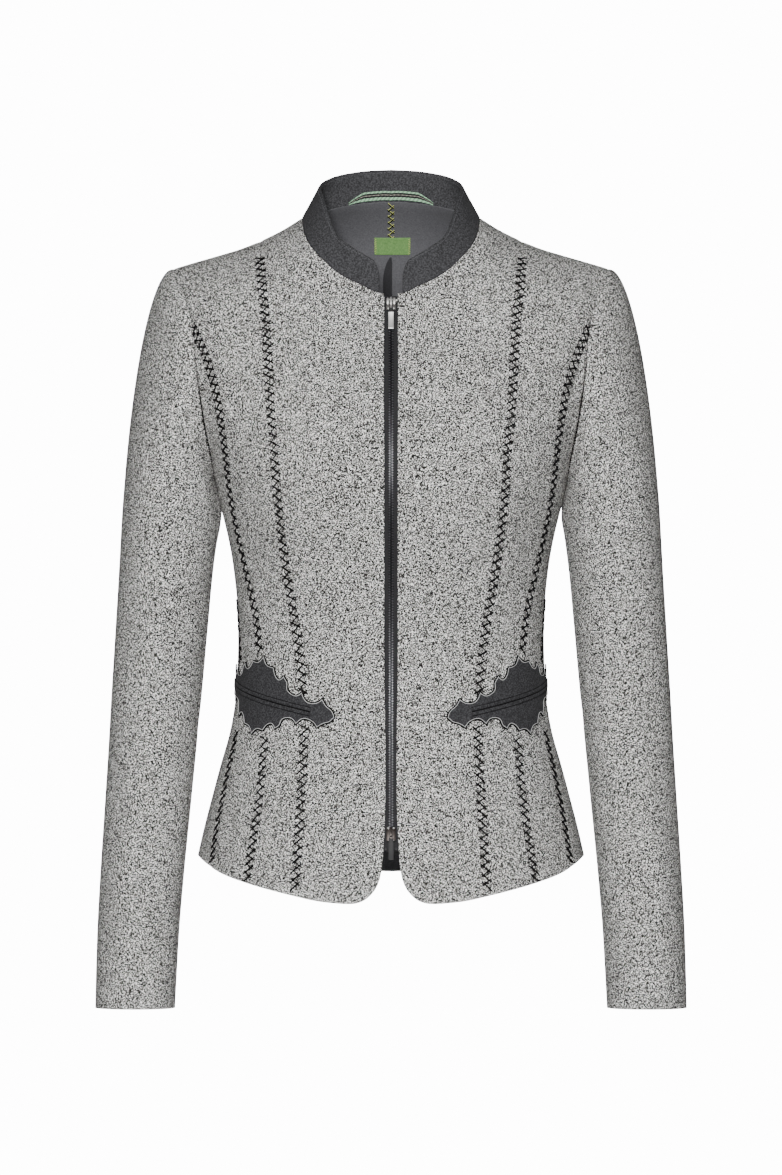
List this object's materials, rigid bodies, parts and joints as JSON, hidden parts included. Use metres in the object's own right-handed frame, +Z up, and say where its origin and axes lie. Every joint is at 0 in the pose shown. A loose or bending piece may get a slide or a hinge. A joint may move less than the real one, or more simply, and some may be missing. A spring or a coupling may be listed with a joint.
{
  "type": "folk jacket",
  "caption": "Fitted hollow wool jacket with princess seams, two-piece sleeves, low stand collar, two-way zip and appliqued slanted pockets.",
  "frame": {"origin": "middle of the neck, level with the inner ends of the shoulder seams", "axes": "+Z up, the front faces -Y, the wearer's left is +X"},
  "size_m": [0.5, 0.2663, 0.7128],
  "materials": {
    "wool_tweed": "grey melange loden wool, soft nap",
    "wool_tweed_sleeve": "grey melange loden wool, soft nap",
    "charcoal_wool": "charcoal wool, matt",
    "charcoal_felt": "charcoal felt, matt",
    "striped_tape": "woven striped tape",
    "woven_label": "woven satin, bare",
    "lining_satin": "satin lining",
    "zip_tape": "woven zip tape",
    "zip_teeth": "dark moulded teeth with a metallic sheen",
    "nickel": "worn nickel plate"
  },
  "bodies": {
    "jacket": {"centre_front_left": "wool_tweed", "centre_front_right": "wool_tweed", "side_front_left": "wool_tweed", "side_front_right": "wool_tweed", "side_panel_left": "wool_tweed", "side_panel_right": "wool_tweed", "side_back_left": "wool_tweed", "side_back_right": "wool_tweed", "mid_back_left": "wool_tweed", "mid_back_right": "wool_tweed", "centre_back": "wool_tweed", "top_sleeve_left": "wool_tweed_sleeve", "top_sleeve_right": "wool_tweed_sleeve", "under_sleeve_left": "wool_tweed_sleeve", "under_sleeve_right": "wool_tweed_sleeve", "collar_outer": "charcoal_wool", "collar_inner": "charcoal_wool", "pocket_applique_left": "charcoal_felt", "pocket_applique_right": "charcoal_felt", "pocket_welt_upper_left": "charcoal_felt", "pocket_welt_upper_right": "charcoal_felt", "pocket_welt_lower_left": "charcoal_felt", "pocket_welt_lower_right": "charcoal_felt", "hanger_loop": "striped_tape", "label": "woven_label", "back_lining": "lining_satin", "zip_tape_left": "zip_tape", "zip_tape_right": "zip_tape", "zip_chain": "zip_teeth", "zip_slider_top": "nickel", "zip_slider_foot": "nickel"},
    "top_pull": {"zip_pull_top": "nickel"},
    "foot_pull": {"zip_pull_foot": "nickel"}
  },
  "joints": [
    {"name": "top_pull_swing", "type": "hinge", "parent": "jacket", "child": "top_pull", "pos_m": [0, -0.07793, -0.07182], "axis": [-1, 0, 0], "range_deg": [0, 150]},
    {"name": "foot_pull_swing", "type": "hinge", "parent": "jacket", "child": "foot_pull", "pos_m": [0, -0.12321, -0.51933], "axis": [-1, 0, 0], "range_deg": [0, 150]}
  ]
}
